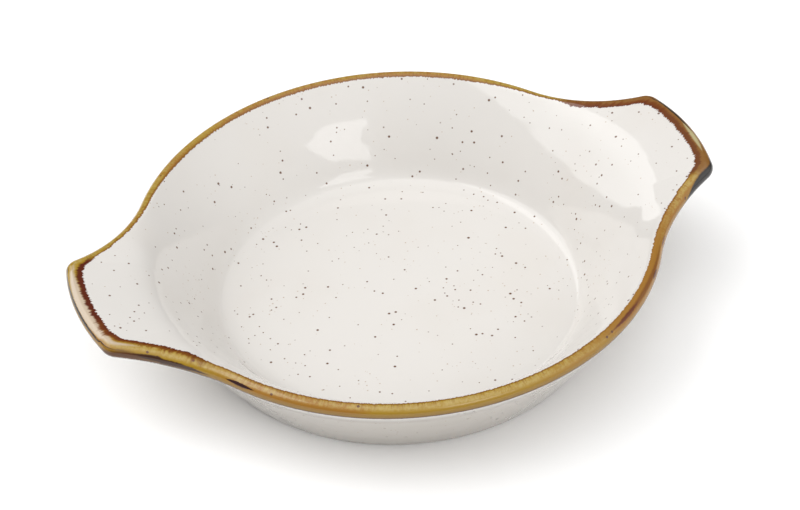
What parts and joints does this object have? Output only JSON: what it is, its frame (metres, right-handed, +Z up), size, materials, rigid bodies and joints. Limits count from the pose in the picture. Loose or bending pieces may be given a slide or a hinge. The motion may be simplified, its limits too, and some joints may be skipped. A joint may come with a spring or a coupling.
{
  "type": "egg dish",
  "caption": "Shallow round ceramic egg dish with a flared wall, a rounded lip and a short upswept ear on either side; speckled off-white glaze with a brown edge.",
  "frame": {"origin": "middle of the foot, on the surface that the dish stands on", "axes": "+Z up out of the dish, +X through the middle of one ear"},
  "size_m": [0.2244, 0.18, 0.0409],
  "materials": {
    "glaze": "glossy off-white glaze with fine brown speckles and a brown edge"
  },
  "bodies": {
    "root": {"dish": "glaze"}
  },
  "joints": []
}
